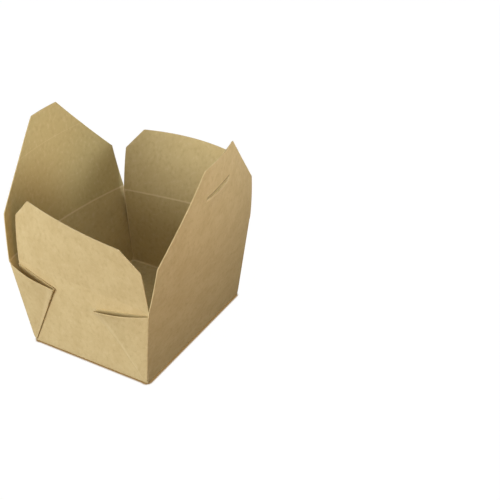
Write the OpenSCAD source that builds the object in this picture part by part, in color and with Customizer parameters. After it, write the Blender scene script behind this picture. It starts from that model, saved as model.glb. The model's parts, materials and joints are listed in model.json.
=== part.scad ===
// Takeaway box folded from one die-cut sheet of brown kraft board.
// The floor and four walls form a tapered tray. At each corner the web between two walls is
// folded double and laid on the outside of the end wall as an ear with an open pocket.
// Two end flaps and two long tongue flaps turn on the creases along the rim. The left
// flap's narrower tongue tucks into the slit across the right one.
// Lengths are in millimetres. The origin is the centre of the underside, side walls face
// +X and -X, end walls face +Y and -Y, and the flaps are drawn opened.

/* [Board] */
// Thickness of the board
board_t = 0.5; // [0.35:0.05:0.8]
// Running gap between a flap's rounded crease and the wall under it
crease_gap = 0.14; // [0.1:0.02:0.3]
// Radius of the die-cut corners of the flaps and ears
cut_r = 1.6; // [0.4:0.2:4]

/* [Tray] */
// Length of the floor, along the side walls
base_len = 113; // [95:1:160]
// Width of the floor, along the end walls
base_wid = 92; // [75:1:130]
// Height of the side walls' rim above the table
height = 63; // [45:1:90]
// How far each side wall leans out at the rim
side_flare = 8; // [4:0.5:14]
// How far each end wall leans out at the rim
end_flare = 3; // [1:0.5:10]
// How much lower the end walls are creased, so that their flaps close underneath
end_drop = 1; // [0.8:0.1:2.5]

/* [Corner ears] */
// Height of an ear's tip, measured up the end wall
ear_tip_h = 50; // [30:1:56]
// How far an ear's top edge starts below the rim at the corner
ear_drop = 2.4; // [1.8:0.1:5]
// Opening of the pocket between an ear's two layers at the rim corner
pocket_gap = 1.6; // [0.6:0.2:2]
// Slit inside the tray between a side wall and the folded edge of the end wall, at the rim
corner_slit = 1.1; // [0.3:0.1:2]

/* [End flaps] */
// Height of an end flap from its crease to its top edge
end_flap_h = 46; // [36:1:56]
// Height at which an end flap's corners are cut off
end_shoulder_h = 32; // [12:1:34]
// Width of an end flap's top edge
end_top_w = 80; // [40:1:86]
// Angle below level to which an end flap can be pushed in
end_dip = 10; // [5:1:14]
// Outward lean of the near end flap
near_lean = 0; // [0:1:40]
// Outward lean of the far end flap
far_lean = 7; // [0:1:40]

/* [Side flaps] */
// Height of a side flap from its crease to the tip of its tongue
side_flap_h = 81; // [64:1:95]
// Height at which a side flap starts to narrow to its tongue
side_shoulder_h = 33; // [10:1:45]
// Width of the left flap's tongue at its tip
left_tongue_w = 27; // [16:1:48]
// Width of the right flap's tongue at its tip
right_tongue_w = 38; // [24:1:60]
// How much longer the slit in the right flap is than the left tongue's tip, which it takes
slit_play = 3; // [1:0.5:6]
// Width of the slit
slit_w = 0.5; // [0.3:0.1:1.5]
// Height of the slit above the right flap's crease
slit_h = 59; // [50:1:61]
// Outward lean of the left side flap
left_lean = 4; // [0:1:40]
// Outward lean of the right side flap
right_lean = 8; // [0:1:40]
// How far the middle of the left flap bows out, because the board springs back from its crease
left_bow = 5; // [0.5:0.5:7]
// How far the middle of the right flap bows out
right_bow = 3; // [0.5:0.5:7]
// Height above the straight crease at which the bow is full
bow_rise = 20; // [10:1:30]
// Gap between a flap's side edge and the wall or flap beside it
flap_gap = 0.3; // [0.2:0.1:1]

/* [Hidden] */
board_colour = "#CDB27F";
inside_colour = "#BBA06C";
arc_steps = 4;
fold_facets = 32;
// Flat strip of a side flap beside its crease, and the number of facets across its bow
crease_band = 2;
bow_facets = 10;
// A fold is rounded a little thicker than its two layers
fold_swell = 1.06;
// A length longer than any part of the box, for planes that trim the corners
beyond = 3 * (base_len + base_wid);

rim_len = base_len + 2 * end_flare;
rim_wid = base_wid + 2 * side_flare;
end_crease_z = height - end_drop;

// Lean of the walls from upright, and how far up each wall's slope its crease lies
side_lean = atan(side_flare / height);
end_lean = atan(end_flare / height);
side_slope = (height - board_t / 2 * sin(side_lean)) / cos(side_lean);
end_slope = (end_crease_z - board_t / 2 * sin(end_lean)) / cos(end_lean);

// Crease axes, halfway through the thickness of each wall
side_axis_x = base_wid / 2 + side_slope * sin(side_lean) - board_t / 2 * cos(side_lean);
end_axis_y = base_len / 2 + end_slope * sin(end_lean) - board_t / 2 * cos(end_lean);

// Half width of the end wall between its folded side edges, at the floor and at the rim.
// At the floor the folds press into each other, and the slit opens from there to the rim.
corner_press = 0.15;
end_foot_x = base_wid / 2 - 2 * board_t + corner_press;
end_rim_x = rim_wid / 2 - 2 * board_t - corner_slit;
end_edge_angle = atan((end_rim_x - end_foot_x) / end_slope);

// An ear is two layers outside the end wall. The side wall reaches out past both of them.
ear_stack = 2 * board_t;
side_edge_angle = atan((end_flare + ear_stack + pocket_gap) / side_slope);

// The flat web spans what is left of a full turn round the floor's corner. Its crease
// halves that angle, so both layers of the ear have the same outline.
web_half = (90 - side_edge_angle - end_edge_angle) / 2;
fold_tilt = web_half - end_edge_angle;
ear_top_h = end_slope - ear_drop;
ear_corner_x = end_foot_x + ear_top_h * tan(end_edge_angle);
ear_tip_x = end_foot_x - ear_tip_h * tan(fold_tilt);
fold_len = ear_tip_h / cos(fold_tilt);
pocket_angle = atan(pocket_gap / (end_slope / cos(end_edge_angle) * sin(web_half)));

// Half lengths of the flaps at their creases and shoulders. An end flap narrows so that it
// clears the leaning side walls when it is pushed in.
side_flap_half = rim_len / 2 - board_t - flap_gap;
end_flap_half = rim_wid / 2 - board_t - flap_gap - end_drop * tan(side_lean);
end_shoulder_half = end_flap_half - end_shoulder_h * sin(end_dip) * tan(side_lean) - flap_gap;

function unit(v) = v / norm(v);

// Points of an arc of radius r that rounds the corner b between the lines to a and to c
function arc(a, b, c, r) =
    let (
        u = unit(a - b),
        v = unit(c - b),
        half = acos(u * v) / 2,
        centre = b + unit(u + v) * r / sin(half),
        from = b + u * r / tan(half) - centre,
        to = b + v * r / tan(half) - centre,
        sweep = 180 - 2 * half
    )
    [for (i = [0:arc_steps])
        centre + (from * sin(sweep * (1 - i / arc_steps)) + to * sin(sweep * i / arc_steps)) / sin(sweep)];

// An outline with the corners from index first to index last rounded, and the rest kept sharp
function rounded(points, first, last, r) = [
    for (i = [0:len(points) - 1])
        for (p = (i < first || i > last)
            ? [points[i]]
            : arc(points[i - 1], points[i], points[(i + 1) % len(points)], r)) p
];

// One layer of board with its lower face at z = 0
module sheet(points) {
    linear_extrude(board_t) polygon(points);
}

// Round bead of board along a fold from p to q
module bead(p, q, r) {
    run = q - p;
    translate(p)
        rotate([0, acos(run[2] / norm(run)), atan2(run[1], run[0])])
            cylinder(r = r, h = norm(run), $fn = fold_facets);
}

// Frame of a wall's outer face: x along its foot, y up its slope, z outwards.
// sign picks the wall on the positive or the negative side.
module on_side_wall(sign) {
    rotate([0, 0, sign > 0 ? 0 : 180])
        translate([base_wid / 2, 0, 0])
            rotate([0, side_lean, 0]) rotate([90, 0, 90]) children();
}

module on_end_wall(sign) {
    rotate([0, 0, sign < 0 ? 0 : 180])
        translate([0, -base_len / 2, 0])
            rotate([90 + end_lean, 0, 0]) children();
}

// Frame of a flap at rest: x along its crease, y up the flap, z outwards
module at_side_crease(sign, lean) {
    rotate([0, 0, sign > 0 ? 0 : 180])
        translate([side_axis_x, 0, height])
            rotate([0, lean, 0]) rotate([90, 0, 90]) children();
}

module at_end_crease(sign, lean) {
    rotate([0, 0, sign < 0 ? 0 : 180])
        translate([0, -end_axis_y, end_crease_z])
            rotate([90 + lean, 0, 0]) children();
}

// Frame of an ear's outer layer: the end wall's frame, opened about the diagonal fold
module on_outer_layer() {
    translate([end_foot_x, 0, board_t])
        rotate(a = pocket_angle, v = [sin(fold_tilt), -cos(fold_tilt), 0])
            translate([-end_foot_x, 0, 0]) children();
}

// Everything outside the outer face of a side wall, and everything under the table
module outside_side_wall() {
    translate([base_wid / 2, 0, 0])
        rotate([0, side_lean, 0])
            translate([0, -beyond / 2, -beyond / 2]) cube(beyond);
}

module under_table() {
    translate([-beyond / 2, -beyond / 2, -beyond]) cube(beyond);
}

// Inner layer of an ear, glued to the end wall all over, so the two are one solid there,
// and the half turn at the wall's side edge
module ear_inner_layer() {
    foot = [end_foot_x, 0];
    corner = [ear_corner_x, ear_top_h];
    tip = [ear_tip_x, ear_tip_h];
    translate([0, 0, -board_t / 2])
        linear_extrude(1.5 * board_t) polygon(rounded([foot, corner, tip], 2, 2, cut_r));
    bead([foot[0], foot[1], 0], [corner[0], corner[1], 0], fold_swell * board_t);
}

// Outer layer of an ear, which runs on into the side wall at the corner
module ear_outer_layer() {
    reach = beyond / 4;
    top_dir = unit([ear_corner_x - ear_tip_x, ear_top_h - ear_tip_h]);
    foot = [end_foot_x, 0];
    tip = [ear_tip_x, ear_tip_h];
    end = tip + reach * top_dir;
    on_outer_layer() sheet(rounded([foot, [end[0], 0], end, tip], 3, 3, cut_r));
}

// The half turn along the diagonal fold
module diagonal_fold() {
    up = [-sin(fold_tilt), cos(fold_tilt), 0];
    foot = [end_foot_x, 0, board_t];
    bead(foot, foot + (fold_len - cut_r) * up, fold_swell * board_t);
}

// One ear at the corner of the near end wall and the right side wall
module ear() {
    difference() {
        on_end_wall(-1) {
            ear_inner_layer();
            ear_outer_layer();
            diagonal_fold();
        }
        outside_side_wall();
        under_table();
    }
}

module end_wall(sign) {
    top = end_slope - board_t / 2 - crease_gap;
    on_end_wall(sign)
        translate([0, 0, -board_t])
            sheet([
                [-end_foot_x, 0], [end_foot_x, 0],
                [end_foot_x + top * tan(end_edge_angle), top],
                [-end_foot_x - top * tan(end_edge_angle), top]
            ]);
}

// The side wall is cut off at both ends where it meets the ears' outer faces
module side_wall(sign) {
    top = side_slope - board_t / 2 - crease_gap;
    reach = base_len / 2 + ear_stack;
    flare = 2 * top * tan(side_edge_angle);
    difference() {
        on_side_wall(sign)
            translate([0, 0, -board_t])
                sheet([[-reach, 0], [reach, 0], [reach + flare, top], [-reach - flare, top]]);
        for (end = [-1, 1])
            rotate([0, 0, sign > 0 ? 0 : 180])
                mirror([0, end > 0 ? 1 : 0, 0])
                    on_end_wall(-1)
                        on_outer_layer()
                            translate([0, -beyond / 2, board_t]) cube(beyond);
    }
}

module tray() color(board_colour) {
    translate([-base_wid / 2, -base_len / 2, 0]) cube([base_wid, base_len, board_t]);
    for (sign = [-1, 1]) {
        side_wall(sign);
        end_wall(sign);
    }
    for (x = [0, 1], y = [0, 1])
        mirror([x, 0, 0]) mirror([0, y, 0]) ear();
}

// A flap stands on the crease line with its board centred on it
module end_flap() {
    translate([0, 0, -board_t / 2])
        sheet(rounded([
            [end_flap_half, 0], [end_shoulder_half, end_shoulder_h],
            [end_top_w / 2, end_flap_h], [-end_top_w / 2, end_flap_h],
            [-end_shoulder_half, end_shoulder_h], [-end_flap_half, 0]
        ], 1, 4, cut_r));
    bead([-end_flap_half, 0, 0], [end_flap_half, 0, 0], board_t / 2);
}

// Board that is flat beside its crease and bows out between its two ends from there on. Each
// row of points is a parabola across the flap, so the strips above the rise are flat facets.
module bowed_sheet(bow) {
    rows = [0, crease_band, bow_rise, side_flap_h + cut_r];
    share = [0, 0, 1, 1];
    wide = side_flap_half + cut_r;
    row_size = bow_facets + 1;
    face_size = len(rows) * row_size;
    points = [
        for (face = [-1, 1], row = [0:len(rows) - 1], i = [0:bow_facets])
            let (x = wide * (2 * i / bow_facets - 1), depth = 1 - pow(x / side_flap_half, 2))
            [x, rows[row], bow * share[row] * depth + face * board_t / 2]
    ];
    cells = [
        for (row = [0:len(rows) - 2], i = [0:bow_facets - 1])
            let (p = row * row_size + i, q = p + row_size)
            each row != 1 ? [[p, p + 1, q + 1, q]]
                : i < bow_facets / 2 ? [[p, p + 1, q + 1], [p, q + 1, q]]
                : [[p, p + 1, q], [p + 1, q + 1, q]]
    ];
    last = face_size - row_size;
    rim = concat(
        [for (i = [0:bow_facets]) i],
        [for (row = [1:len(rows) - 1]) row * row_size + bow_facets],
        [for (i = [1:bow_facets]) last + bow_facets - i],
        [for (row = [1:len(rows) - 2]) last - row * row_size]
    );
    polyhedron(points, concat(
        cells,
        [for (cell = cells) [for (i = [len(cell) - 1:-1:0]) cell[i] + face_size]],
        [for (i = [0:len(rim) - 1])
            let (a = rim[i], b = rim[(i + 1) % len(rim)]) [b, a, a + face_size, b + face_size]]
    ));
}

// A side flap is bowed board cut to its outline
module side_flap(tongue_w, bow) {
    depth = bow + 2 * board_t;
    intersection() {
        bowed_sheet(bow);
        translate([0, 0, -depth]) linear_extrude(2 * depth)
            polygon(rounded([
                [side_flap_half, -cut_r], [side_flap_half, side_shoulder_h],
                [tongue_w / 2, side_flap_h], [-tongue_w / 2, side_flap_h],
                [-side_flap_half, side_shoulder_h], [-side_flap_half, -cut_r]
            ], 1, 4, cut_r));
    }
    bead([-side_flap_half, 0, 0], [side_flap_half, 0, 0], board_t / 2);
}

// Slit with round ends, cut through a flap of the given bow
module slit(length, bow) {
    depth = bow + 2 * board_t;
    translate([0, slit_h, -depth]) {
        translate([-length / 2, -slit_w / 2, 0]) cube([length, slit_w, 2 * depth]);
        for (end = [-1, 1])
            translate([end * length / 2, 0, 0])
                cylinder(d = slit_w, h = 2 * depth, $fn = fold_facets);
    }
}

module near_end_flap() color(board_colour) at_end_crease(-1, near_lean) end_flap();
module far_end_flap() color(inside_colour) at_end_crease(1, far_lean) end_flap();
module left_side_flap() color(inside_colour)
    at_side_crease(-1, left_lean) side_flap(left_tongue_w, left_bow);
module right_side_flap() color(board_colour)
    at_side_crease(1, right_lean)
        difference() {
            side_flap(right_tongue_w, right_bow);
            slit(left_tongue_w + slit_play - slit_w, right_bow);
        }

tray();
near_end_flap();
far_end_flap();
left_side_flap();
right_side_flap();
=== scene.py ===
"""Dressed scene of a takeaway box folded from one sheet of kraft board, shown opened.

Every sheet is worked out as the middle surface of the board, in millimetres in the frame of the
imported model, then welded, given the board's thickness and written in metres.
"""
import json
import logging
import math
from dataclasses import dataclass, field
from enum import Enum
from typing import Optional

import bmesh
import bpy
import numpy as np
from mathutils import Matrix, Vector


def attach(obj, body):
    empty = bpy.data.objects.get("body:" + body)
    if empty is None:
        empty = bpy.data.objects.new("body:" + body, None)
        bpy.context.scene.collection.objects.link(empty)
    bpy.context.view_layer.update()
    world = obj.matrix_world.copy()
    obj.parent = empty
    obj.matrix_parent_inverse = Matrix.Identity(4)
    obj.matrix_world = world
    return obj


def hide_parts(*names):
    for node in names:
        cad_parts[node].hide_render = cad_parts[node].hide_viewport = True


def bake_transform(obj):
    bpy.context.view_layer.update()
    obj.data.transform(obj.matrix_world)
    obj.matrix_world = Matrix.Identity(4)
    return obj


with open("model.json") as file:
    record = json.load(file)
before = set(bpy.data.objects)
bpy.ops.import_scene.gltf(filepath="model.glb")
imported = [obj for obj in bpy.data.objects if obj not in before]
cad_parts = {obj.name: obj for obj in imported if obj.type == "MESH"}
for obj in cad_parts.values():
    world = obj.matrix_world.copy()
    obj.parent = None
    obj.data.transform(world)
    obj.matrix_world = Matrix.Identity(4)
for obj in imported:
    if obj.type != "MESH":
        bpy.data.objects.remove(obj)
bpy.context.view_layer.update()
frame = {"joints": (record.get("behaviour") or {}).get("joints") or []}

MM = 0.001
# Points of two grids that lie closer than this are one point, and shorter edges go, in metres
WELD = 2e-6
SLIVER = 1e-6
# Edges that turn more than this stay crisp, in degrees
SHARP_ANGLE = 34.0
# Millimetres of the blank to one unit of its map
BLANK_UNIT = 100.0
# Distance to the nearest cut edge that stands for far from any, in millimetres
NO_CUT = 9.0
# Distance that is sure to lie outside the box, in millimetres
OUTSIDE = 500.0
# Difference that counts as none
TINY = 1e-9
UP = np.array([0.0, 0.0, 1.0])
LOG = logging.getLogger("takeaway_box")

Array = np.ndarray


class Side(Enum):
    """The four sides of the box, each with its way out and the way along its crease."""

    LEFT = ("left_side", (-1.0, 0.0, 0.0), (0.0, 1.0, 0.0))
    RIGHT = ("right_side", (1.0, 0.0, 0.0), (0.0, 1.0, 0.0))
    NEAR = ("near_end", (0.0, -1.0, 0.0), (1.0, 0.0, 0.0))
    FAR = ("far_end", (0.0, 1.0, 0.0), (1.0, 0.0, 0.0))

    @property
    def node(self) -> str:
        """Name of the flap's node and body."""
        return self.value[0] + "_flap"

    @property
    def outward(self) -> Array:
        """Level direction out of the box."""
        return np.array(self.value[1])

    @property
    def along(self) -> Array:
        """Direction along the crease, from its first corner to its second."""
        return np.array(self.value[2])

    @property
    def crease(self) -> Array:
        """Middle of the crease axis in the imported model.

        Returns:
            The point, in millimetres.
        """
        name = self.value[0] + "_crease"
        joint = next(j for j in frame["joints"] if j["name"] == name)
        return np.array(joint["pos_m"]) / MM


class Facing(Enum):
    """Material indices of a sheet: its plain faces and its die-cut edge."""

    FACE = 0
    EDGE = 1


def smooth(low: float, high: float, values: Array) -> Array:
    """Ease from 0 at low to 1 at high, as 3t squared minus 2t cubed.

    Args:
        low: Value at which the result is 0.
        high: Value at which the result is 1.
        values: Values to ease.

    Returns:
        The eased values.
    """
    t = np.clip((values - low) / (high - low), 0.0, 1.0)
    return t * t * (3.0 - 2.0 * t)


def mix(first: Array, second: Array, share: Array) -> Array:
    """Straight blend of two sets of points.

    Args:
        first: Points at share 0.
        second: Points at share 1.
        share: Share of the second set, broadcast against the points.

    Returns:
        The blended points.
    """
    return first * (1.0 - share) + second * share


def direction(vectors: Array) -> Array:
    """Vectors scaled to length one along their last axis.

    Args:
        vectors: Array whose last axis holds x, y and z.

    Returns:
        The unit vectors.
    """
    return vectors / np.linalg.norm(vectors, axis=-1, keepdims=True)


@dataclass(frozen=True)
class Board:
    """The kraft board: its thickness and how it folds, in millimetres.

    fold_reach is the half width of a rounded fold, cut_radius the rounding of a cut corner, and foot_taper
    the height over which the layers of an ear draw apart from the foot. The last number is how strongly a
    painted highlight lightens the outer folds and top edges of the ears, from 0 to 1.
    """

    thickness: float = 0.5
    fold_reach: float = 0.7
    cut_radius: float = 1.6
    foot_taper: float = 4.0
    fold_highlight: float = 0.5


@dataclass(frozen=True)
class Bend:
    """How one sheet stands off its flat, upright form.

    lean holds the angle out of upright at the crease in degrees: its middle value, what is added
    from the crease's first end (minus) to its second (plus), and what is added towards both ends.
    curl holds the same three parts of the board's curvature up the flap, in radians a metre.
    bow is how far the middle of the top stands out, in millimetres. The crease has the wall's bow.
    """

    lean: tuple[float, float, float]
    curl: tuple[float, float, float]
    bow: float

    def angle(self, u: Array, b: Array) -> Array:
        """Lean in radians: the lean at u, and half the curvature at u times the height b."""
        first, second = (p[0] + p[1] * u + p[2] * u * u for p in (self.lean, self.curl))
        return np.radians(first) + second * b * MM / 2.0


@dataclass(frozen=True)
class Racking:
    """How far each rim corner of the hand-folded tray stands from its true place, in millimetres."""

    near_left: tuple[float, float, float] = (-0.1, 0.7, 2.1)
    near_right: tuple[float, float, float] = (0.5, 0.0, -1.3)
    far_left: tuple[float, float, float] = (0.5, -0.7, -2.4)
    far_right: tuple[float, float, float] = (-0.4, 1.2, 2.8)

    def at(self, side: Side, u: Array) -> Array:
        """Offset of the rim at place u along one side, blended straight between its corners.

        Args:
            side: Side of the box.
            u: Place along the side, from -1 to 1.

        Returns:
            Offsets with x, y and z on the last axis.
        """
        ends = {
            Side.LEFT: (self.near_left, self.far_left),
            Side.RIGHT: (self.near_right, self.far_right),
            Side.NEAR: (self.near_left, self.near_right),
            Side.FAR: (self.far_left, self.far_right),
        }[side]
        share = (np.asarray(u, float)[..., None] + 1.0) / 2.0
        return mix(np.array(ends[0]), np.array(ends[1]), share)


@dataclass(frozen=True)
class Ear:
    """How one corner's web was folded into an ear and glued, in millimetres.

    tip holds how far the diagonal's upper end lies from the middle of the end wall and how far up
    it. pocket is how far the side wall's crease reaches past the end wall. slack holds how far the
    end wall's crease is pulled in along itself and across. mouth is how far the outer layer
    stands off at the tip, and gape how far it swells between the tip and the corner.
    """

    tip: tuple[float, float]
    pocket: float
    slack: tuple[float, float]
    mouth: float
    gape: float


@dataclass(frozen=True)
class Score:
    """A faint crease across a tongue: its height in millimetres and the bend beyond it in degrees.

    rows are the heights of the grid's rows beside it. The line starts at distance and fades as if
    every millimetre were fade millimetres, which keeps it thin.
    """

    height: float
    bend: float
    rows: tuple[float, ...] = (-1.0, -0.4, 0.0, 0.4, 1.0)
    distance: float = 0.3
    fade: float = 4.0


@dataclass(frozen=True)
class Slit:
    """A straight cut across a tongue, in millimetres.

    lip is how far the board under it is pushed out, over the height of reach. The next two hold how far
    from the cut the painted shadow over it and the painted highlight under it are full and end, and ends
    how far both run past the cut's ends and over how much they fade there. rows_over and rows_under are
    the distances of the grid's rows from the cut.
    """

    height: float
    length: float
    width: float
    lip: float
    reach: float = 9.0
    shadow_band: tuple[float, float] = (0.5, 1.3)
    highlight_band: tuple[float, float] = (0.9, 2.2)
    ends: tuple[float, float] = (0.6, 1.8)
    rows_over: tuple[float, ...] = (0.6, 1.0, 1.4, 2.0, 4.0)
    rows_under: tuple[float, ...] = (0.5, 0.9, 1.5, 2.2, 4.0)

    @property
    def top(self) -> float:
        """Height of the upper cut edge."""
        return self.height + self.width / 2

    @property
    def bottom(self) -> float:
        """Height of the lower cut edge."""
        return self.height - self.width / 2


@dataclass
class Sheet:
    """A sheet of board gathered from grids of its middle surface.

    The number after the board is how much painted shade, a greyer and darker tone, its inner side takes.
    The lists hold, for each grid, its points, its faces, its places on the flat blank, and the distances
    and painted-light marks that the board's finish reads.
    """

    board: Board
    painted_shade: float = 1.0
    points: list[Array] = field(default_factory=list)
    faces: list[Array] = field(default_factory=list)
    flat: list[Array] = field(default_factory=list)
    folds: list[Array] = field(default_factory=list)
    cuts: list[Array] = field(default_factory=list)
    marks: list[Array] = field(default_factory=list)
    count: int = 0

    def add(self, grid: Array, flat: Array, fold: Array, cut: Array, hole: Optional[Array] = None,
            mark: float | Array = 0.0) -> None:
        """Add one grid of points.

        Args:
            grid: Points, rows by columns by three, in millimetres.
            flat: Place of each point on the flat blank, rows by columns by two, in millimetres.
            fold: Distance of each point from the nearest crease, in millimetres.
            cut: Distance of each point from the nearest cut edge, in millimetres.
            hole: True for each cell of the grid that is cut away.
            mark: Painted light at each point: 1 for painted shadow, -1 for painted highlight.
        """
        rows, columns = grid.shape[:2]
        index = np.arange(rows * columns).reshape(rows, columns) + self.count
        quads = np.stack([index[:-1, :-1], index[:-1, 1:], index[1:, 1:], index[1:, :-1]], -1)
        self.faces.append(quads[~hole] if hole is not None else quads.reshape(-1, 4))
        self.points.append(grid.reshape(-1, 3))
        self.flat.append(flat.reshape(-1, 2))
        self.folds.append(np.broadcast_to(fold, (rows, columns)).ravel())
        self.cuts.append(np.broadcast_to(cut, (rows, columns)).ravel())
        self.marks.append(np.broadcast_to(mark, (rows, columns)).ravel())
        self.count += rows * columns

    def build(self, name: str, outside: Array) -> bpy.types.Object:
        """Weld the grids, turn all faces one way, and give the sheet its thickness.

        Args:
            name: Name of the new object.
            outside: A point, in millimetres, on the outer side of the sheet's first face.

        Returns:
            The object, at the origin, in metres.
        """
        mesh = self._surface(name)
        self._weld(mesh, outside)
        piece = bpy.data.objects.new(name, mesh)
        bpy.context.scene.collection.objects.link(piece)
        wall = piece.modifiers.new("thickness", "SOLIDIFY")
        wall.thickness = self.board.thickness * MM
        wall.offset = 0.0
        wall.material_offset_rim = Facing.EDGE.value
        bpy.context.view_layer.update()
        solid = bpy.data.meshes.new_from_object(piece.evaluated_get(bpy.context.evaluated_depsgraph_get()))
        piece.modifiers.clear()
        piece.data = solid
        bpy.data.meshes.remove(mesh)
        solid.name = name
        self._mark_inside(solid)
        solid.shade_smooth()
        solid.set_sharp_from_angle(angle=math.radians(SHARP_ANGLE))
        return piece

    def _surface(self, name: str) -> bpy.types.Mesh:
        """The grids as one loose mesh with its blank map, its distances and its marks.

        Args:
            name: Name of the new mesh.

        Returns:
            The mesh, in metres.
        """
        mesh = bpy.data.meshes.new(name)
        quads = np.concatenate(self.faces)
        mesh.vertices.add(self.count)
        mesh.vertices.foreach_set("co", (np.concatenate(self.points) * MM).ravel())
        mesh.loops.add(quads.size)
        mesh.loops.foreach_set("vertex_index", quads.ravel())
        mesh.polygons.add(len(quads))
        mesh.polygons.foreach_set("loop_start", np.arange(len(quads)) * 4)
        mesh.update(calc_edges=True)
        blank = mesh.uv_layers.new(name="blank")
        blank.uv.foreach_set("vector", (np.concatenate(self.flat)[quads.ravel()] / BLANK_UNIT).ravel())
        for label, values in (("fold", self.folds), ("cut", self.cuts), ("mark", self.marks)):
            layer = mesh.attributes.new(label, "FLOAT", "POINT")
            layer.data.foreach_set("value", np.concatenate(values).astype(np.float32))
        return mesh

    def _mark_inside(self, solid: bpy.types.Mesh) -> None:
        """Mark the inner side with 1, and give it its share of painted shade.

        Args:
            solid: Mesh of a thickened sheet, whose outer points come first.
        """
        inner = (np.arange(len(solid.vertices)) >= len(solid.vertices) // 2).astype(np.float32)
        solid.attributes.new("inside", "FLOAT", "POINT").data.foreach_set("value", inner)
        solid.attributes.new("painted_shade", "FLOAT", "POINT").data.foreach_set("value", inner * self.painted_shade)

    def _weld(self, mesh: bpy.types.Mesh, outside: Array) -> None:
        """Merge the grids' shared edges and turn every face to the outside.

        Args:
            mesh: The loose mesh, which is changed.
            outside: A point, in millimetres, on the outer side of the first face.
        """
        work = bmesh.new()
        work.from_mesh(mesh)
        bmesh.ops.remove_doubles(work, verts=work.verts, dist=WELD)
        bmesh.ops.dissolve_degenerate(work, edges=work.edges, dist=SLIVER)
        bmesh.ops.recalc_face_normals(work, faces=work.faces)
        work.faces.ensure_lookup_table()
        first = work.faces[0]
        if first.normal.dot(Vector(outside * MM) - first.calc_center_median()) < 0:
            bmesh.ops.reverse_faces(work, faces=work.faces)
        work.to_mesh(mesh)
        work.free()


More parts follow.
